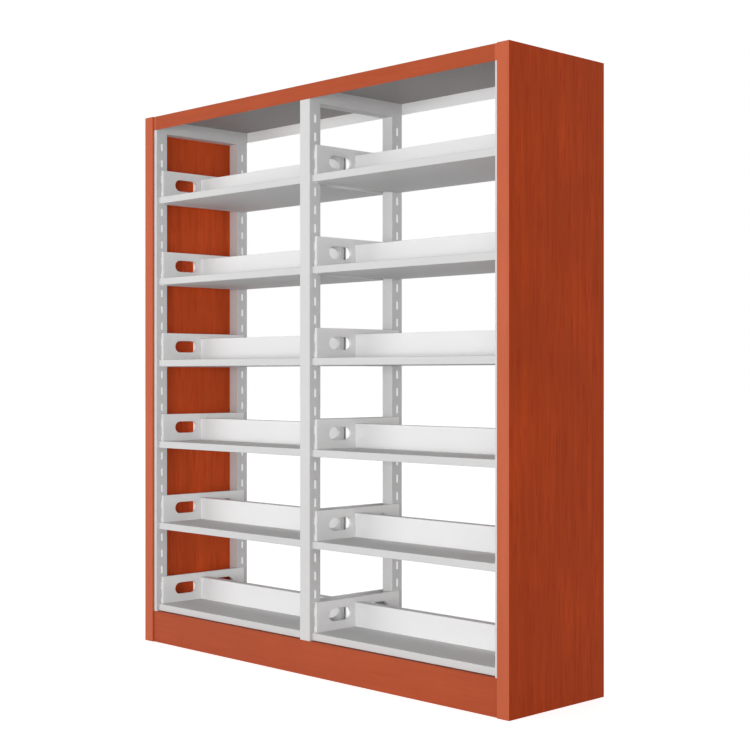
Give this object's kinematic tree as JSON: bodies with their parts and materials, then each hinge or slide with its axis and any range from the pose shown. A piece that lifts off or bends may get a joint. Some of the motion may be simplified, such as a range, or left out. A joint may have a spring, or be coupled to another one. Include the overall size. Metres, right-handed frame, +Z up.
{
  "type": "double sided library shelving",
  "caption": "Free-standing double sided steel book shelving in two bays, with hung shelves, centre book stops and wood end panels.",
  "frame": {"origin": "on the floor, under the middle of the shelving", "axes": "+Z up, +X to the right along the shelves seen from the front, +Y from the front to the rear"},
  "size_m": [1.8246, 0.4606, 2],
  "materials": {
    "grey_steel": "satin light grey powder coat",
    "white_steel": "satin off-white powder coat",
    "wood_board": "satin reddish brown with vertical grain",
    "wood_print_steel": "satin reddish brown wood print with level grain"
  },
  "bodies": {
    "carcass": {"upright_frame_left": "grey_steel", "upright_frame_middle": "grey_steel", "upright_frame_right": "grey_steel", "end_panel_left": "wood_board", "end_panel_right": "wood_board", "fascia_front": "wood_print_steel", "fascia_rear": "wood_print_steel", "kick_plate_front": "wood_print_steel", "kick_plate_rear": "wood_print_steel", "top_panel_left": "grey_steel", "top_panel_right": "grey_steel"},
    "level_left_1": {"shelf_left_1": "grey_steel", "hanger_left_1_end": "white_steel", "hanger_left_1_middle": "white_steel"},
    "stop_left_1": {"book_stop_left_1": "white_steel"},
    "level_left_2": {"shelf_left_2": "grey_steel", "hanger_left_2_end": "white_steel", "hanger_left_2_middle": "white_steel"},
    "stop_left_2": {"book_stop_left_2": "white_steel"},
    "level_left_3": {"shelf_left_3": "grey_steel", "hanger_left_3_end": "white_steel", "hanger_left_3_middle": "white_steel"},
    "stop_left_3": {"book_stop_left_3": "white_steel"},
    "level_left_4": {"shelf_left_4": "grey_steel", "hanger_left_4_end": "white_steel", "hanger_left_4_middle": "white_steel"},
    "stop_left_4": {"book_stop_left_4": "white_steel"},
    "level_left_5": {"shelf_left_5": "grey_steel", "hanger_left_5_end": "white_steel", "hanger_left_5_middle": "white_steel"},
    "stop_left_5": {"book_stop_left_5": "white_steel"},
    "level_left_6": {"shelf_left_6": "grey_steel", "hanger_left_6_end": "white_steel", "hanger_left_6_middle": "white_steel"},
    "stop_left_6": {"book_stop_left_6": "white_steel"},
    "level_right_1": {"shelf_right_1": "grey_steel", "hanger_right_1_end": "white_steel", "hanger_right_1_middle": "white_steel"},
    "stop_right_1": {"book_stop_right_1": "white_steel"},
    "level_right_2": {"shelf_right_2": "grey_steel", "hanger_right_2_end": "white_steel", "hanger_right_2_middle": "white_steel"},
    "stop_right_2": {"book_stop_right_2": "white_steel"},
    "level_right_3": {"shelf_right_3": "grey_steel", "hanger_right_3_end": "white_steel", "hanger_right_3_middle": "white_steel"},
    "stop_right_3": {"book_stop_right_3": "white_steel"},
    "level_right_4": {"shelf_right_4": "grey_steel", "hanger_right_4_end": "white_steel", "hanger_right_4_middle": "white_steel"},
    "stop_right_4": {"book_stop_right_4": "white_steel"},
    "level_right_5": {"shelf_right_5": "grey_steel", "hanger_right_5_end": "white_steel", "hanger_right_5_middle": "white_steel"},
    "stop_right_5": {"book_stop_right_5": "white_steel"},
    "level_right_6": {"shelf_right_6": "grey_steel", "hanger_right_6_end": "white_steel", "hanger_right_6_middle": "white_steel"},
    "stop_right_6": {"book_stop_right_6": "white_steel"}
  },
  "joints": [
    {"name": "lift_left_1", "type": "slide", "parent": "carcass", "child": "level_left_1", "axis": [0, 0, 1], "range_m": [0, 0.012]},
    {"name": "slide_stop_left_1", "type": "slide", "parent": "level_left_1", "child": "stop_left_1", "axis": [-1, 0, 0], "range_m": [0, 0.0104]},
    {"name": "lift_left_2", "type": "slide", "parent": "carcass", "child": "level_left_2", "axis": [0, 0, 1], "range_m": [0, 0.012]},
    {"name": "slide_stop_left_2", "type": "slide", "parent": "level_left_2", "child": "stop_left_2", "axis": [-1, 0, 0], "range_m": [0, 0.0104]},
    {"name": "lift_left_3", "type": "slide", "parent": "carcass", "child": "level_left_3", "axis": [0, 0, 1], "range_m": [0, 0.012]},
    {"name": "slide_stop_left_3", "type": "slide", "parent": "level_left_3", "child": "stop_left_3", "axis": [-1, 0, 0], "range_m": [0, 0.0104]},
    {"name": "lift_left_4", "type": "slide", "parent": "carcass", "child": "level_left_4", "axis": [0, 0, 1], "range_m": [0, 0.012]},
    {"name": "slide_stop_left_4", "type": "slide", "parent": "level_left_4", "child": "stop_left_4", "axis": [-1, 0, 0], "range_m": [0, 0.0104]},
    {"name": "lift_left_5", "type": "slide", "parent": "carcass", "child": "level_left_5", "axis": [0, 0, 1], "range_m": [0, 0.012]},
    {"name": "slide_stop_left_5", "type": "slide", "parent": "level_left_5", "child": "stop_left_5", "axis": [-1, 0, 0], "range_m": [0, 0.0104]},
    {"name": "lift_left_6", "type": "slide", "parent": "carcass", "child": "level_left_6", "axis": [0, 0, 1], "range_m": [0, 0.012]},
    {"name": "slide_stop_left_6", "type": "slide", "parent": "level_left_6", "child": "stop_left_6", "axis": [-1, 0, 0], "range_m": [0, 0.0104]},
    {"name": "lift_right_1", "type": "slide", "parent": "carcass", "child": "level_right_1", "axis": [0, 0, 1], "range_m": [0, 0.012]},
    {"name": "slide_stop_right_1", "type": "slide", "parent": "level_right_1", "child": "stop_right_1", "axis": [-1, 0, 0], "range_m": [0, 0.0104]},
    {"name": "lift_right_2", "type": "slide", "parent": "carcass", "child": "level_right_2", "axis": [0, 0, 1], "range_m": [0, 0.012]},
    {"name": "slide_stop_right_2", "type": "slide", "parent": "level_right_2", "child": "stop_right_2", "axis": [-1, 0, 0], "range_m": [0, 0.0104]},
    {"name": "lift_right_3", "type": "slide", "parent": "carcass", "child": "level_right_3", "axis": [0, 0, 1], "range_m": [0, 0.012]},
    {"name": "slide_stop_right_3", "type": "slide", "parent": "level_right_3", "child": "stop_right_3", "axis": [-1, 0, 0], "range_m": [0, 0.0104]},
    {"name": "lift_right_4", "type": "slide", "parent": "carcass", "child": "level_right_4", "axis": [0, 0, 1], "range_m": [0, 0.012]},
    {"name": "slide_stop_right_4", "type": "slide", "parent": "level_right_4", "child": "stop_right_4", "axis": [-1, 0, 0], "range_m": [0, 0.0104]},
    {"name": "lift_right_5", "type": "slide", "parent": "carcass", "child": "level_right_5", "axis": [0, 0, 1], "range_m": [0, 0.012]},
    {"name": "slide_stop_right_5", "type": "slide", "parent": "level_right_5", "child": "stop_right_5", "axis": [-1, 0, 0], "range_m": [0, 0.0104]},
    {"name": "lift_right_6", "type": "slide", "parent": "carcass", "child": "level_right_6", "axis": [0, 0, 1], "range_m": [0, 0.012]},
    {"name": "slide_stop_right_6", "type": "slide", "parent": "level_right_6", "child": "stop_right_6", "axis": [-1, 0, 0], "range_m": [0, 0.0104]}
  ]
}
